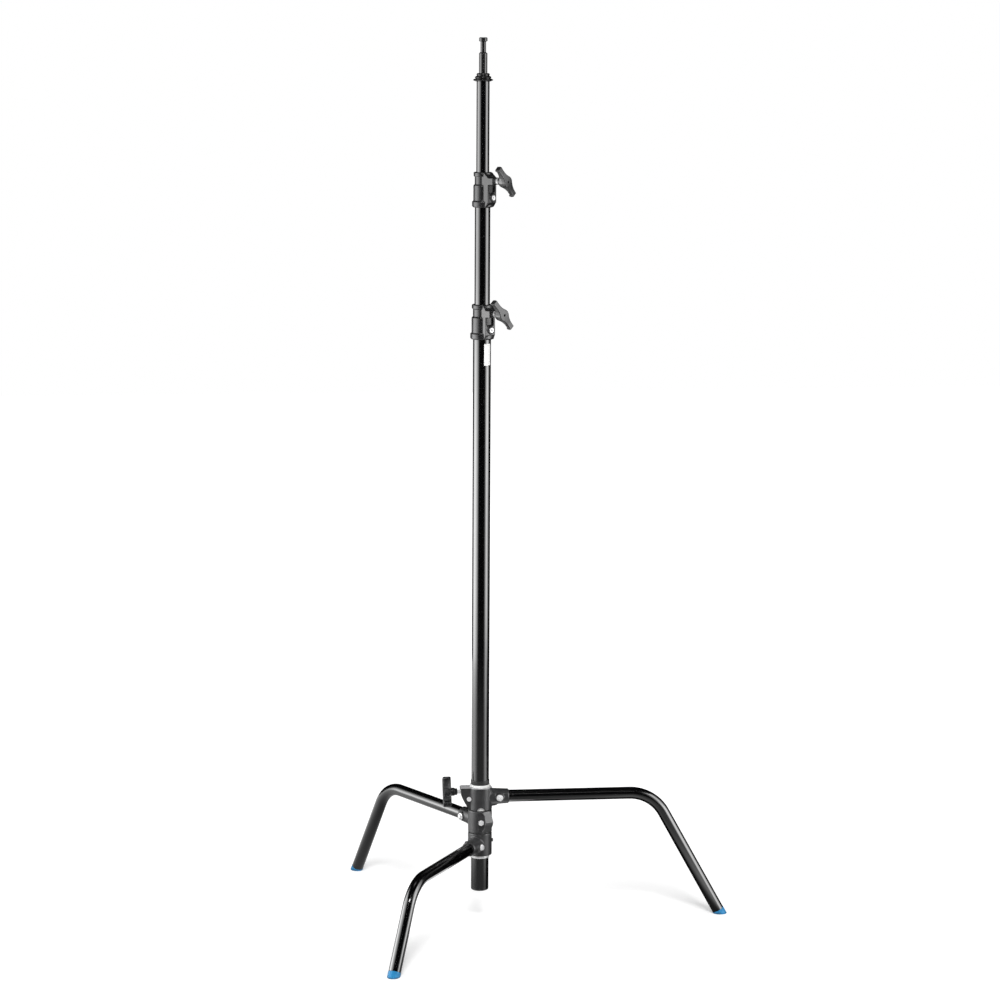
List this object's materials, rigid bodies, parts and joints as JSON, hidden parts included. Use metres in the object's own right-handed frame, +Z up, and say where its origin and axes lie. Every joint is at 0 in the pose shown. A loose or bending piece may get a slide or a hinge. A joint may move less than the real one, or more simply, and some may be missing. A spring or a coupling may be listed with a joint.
{
  "type": "c stand",
  "caption": "Light stand with nesting bent legs at staggered heights, a sliding levelling leg, telescoping risers locked by T-handle collars, and a grooved spigot on top.",
  "frame": {"origin": "on the floor, under the column's axis", "axes": "+Z up along the mast, +X along the sliding leg (the top one), so the middle leg lies at 120 degrees and the lowest at 240 degrees about +Z"},
  "size_m": [0.7369, 0.7573, 1.7525],
  "materials": {
    "tube_black": "gloss black steel tube",
    "cast_dark": "satin dark grey powder coat on die casting",
    "cast_satin": "satin black coated die casting",
    "zinc_steel": "bright zinc plate",
    "dark_steel": "blackened steel",
    "foot_blue": "matte blue rubber",
    "plastic_black": "black moulded plastic",
    "rubber_black": "black rubber",
    "nylon_white": "smooth white nylon",
    "nylon_black": "smooth black nylon",
    "bronze": "sintered bronze"
  },
  "bodies": {
    "column": {"column_tube": "tube_black", "column_plug": "plastic_black", "lower_casting": "cast_dark", "lower_leg": "tube_black", "lower_foot": "foot_blue", "lower_leg_bolt": "zinc_steel", "lower_leg_nut": "zinc_steel", "casting_screw": "dark_steel", "base_ring": "zinc_steel", "lower_collar": "cast_satin", "lower_collar_bolt": "zinc_steel", "lower_collar_bush": "nylon_black"},
    "lower_shoe": {"lower_shoe": "bronze"},
    "lower_handle": {"lower_screw": "zinc_steel", "lower_washer": "zinc_steel", "lower_handle": "cast_satin"},
    "riser_1_glide": {"riser_1_glide": "nylon_white"},
    "riser_1": {"riser_1_tube": "tube_black", "upper_collar": "cast_satin", "upper_collar_bolt": "zinc_steel", "upper_collar_bush": "nylon_black"},
    "upper_shoe": {"upper_shoe": "bronze"},
    "upper_handle": {"upper_screw": "zinc_steel", "upper_washer": "zinc_steel", "upper_handle": "cast_satin"},
    "riser_2_glide": {"riser_2_glide": "nylon_white"},
    "riser_2": {"riser_2_tube": "tube_black", "top_fitting": "dark_steel", "spigot": "dark_steel", "spigot_pin": "zinc_steel"},
    "middle_leg": {"middle_casting": "cast_dark", "middle_leg": "tube_black", "middle_foot": "foot_blue", "middle_leg_bolt": "zinc_steel", "middle_leg_nut": "zinc_steel", "index_bolt": "zinc_steel"},
    "slide_rings": {"slide_bush_top": "nylon_white", "slide_bush_bottom": "nylon_white", "wiper_ring": "rubber_black"},
    "top_leg": {"top_casting": "cast_dark", "top_leg": "tube_black", "top_foot": "foot_blue", "top_leg_bolt": "zinc_steel", "top_leg_nut": "zinc_steel", "boss_pin": "zinc_steel"},
    "knob_shoe": {"knob_shoe": "bronze"},
    "leg_knob": {"knob_screw": "zinc_steel", "leg_knob": "plastic_black"}
  },
  "joints": [
    {"name": "riser_1_slide", "type": "slide", "parent": "column", "child": "riser_1_glide", "axis": [0, 0, 1], "range_m": [-0.176, 0.765]},
    {"name": "riser_1_turn", "type": "hinge", "parent": "riser_1_glide", "child": "riser_1", "pos_m": [0, 0, 1.1715], "axis": [0, 0, 1], "continuous": true},
    {"name": "riser_2_slide", "type": "slide", "parent": "riser_1", "child": "riser_2_glide", "axis": [0, 0, 1], "range_m": [-0.166, 0.78]},
    {"name": "riser_2_turn", "type": "hinge", "parent": "riser_2_glide", "child": "riser_2", "pos_m": [0, 0, 1.4275], "axis": [0, 0, 1], "continuous": true},
    {"name": "lower_shoe_slide", "type": "slide", "parent": "column", "child": "lower_shoe", "axis": [0.6018, -0.7986, 0], "range_m": [0, 0.00125]},
    {"name": "lower_handle_turn", "type": "hinge", "parent": "lower_shoe", "child": "lower_handle", "pos_m": [0, 0, 1.223], "axis": [0.6018, -0.7986, 0], "range_deg": [0, 360]},
    {"name": "upper_shoe_slide", "type": "slide", "parent": "riser_1", "child": "upper_shoe", "axis": [0.7071, -0.7071, 0], "range_m": [0, 0.00125]},
    {"name": "upper_handle_turn", "type": "hinge", "parent": "upper_shoe", "child": "upper_handle", "pos_m": [0, 0, 1.479], "axis": [0.7071, -0.7071, 0], "range_deg": [0, 360]},
    {"name": "middle_leg_fold", "type": "hinge", "parent": "column", "child": "middle_leg", "pos_m": [0, 0, 0.2], "axis": [0, 0, 1], "range_deg": [0, 120]},
    {"name": "top_leg_slide", "type": "slide", "parent": "column", "child": "slide_rings", "axis": [0, 0, 1], "range_m": [0, 0.86]},
    {"name": "top_leg_fold", "type": "hinge", "parent": "slide_rings", "child": "top_leg", "pos_m": [0, 0, 0.25], "axis": [0, 0, 1], "range_deg": [-120, 0]},
    {"name": "knob_shoe_slide", "type": "slide", "parent": "top_leg", "child": "knob_shoe", "axis": [-1, 0, 0], "range_m": [0, 0.001]},
    {"name": "knob_turn", "type": "hinge", "parent": "knob_shoe", "child": "leg_knob", "pos_m": [0, 0, 0.2658], "axis": [-1, 0, 0], "range_deg": [0, 360]}
  ],
  "couplings": [
    {"joint": "lower_handle_turn", "follows": "lower_shoe_slide", "rad_per_m": 5026.5},
    {"joint": "upper_handle_turn", "follows": "upper_shoe_slide", "rad_per_m": 5026.5},
    {"joint": "knob_turn", "follows": "knob_shoe_slide", "rad_per_m": 6283.2}
  ]
}
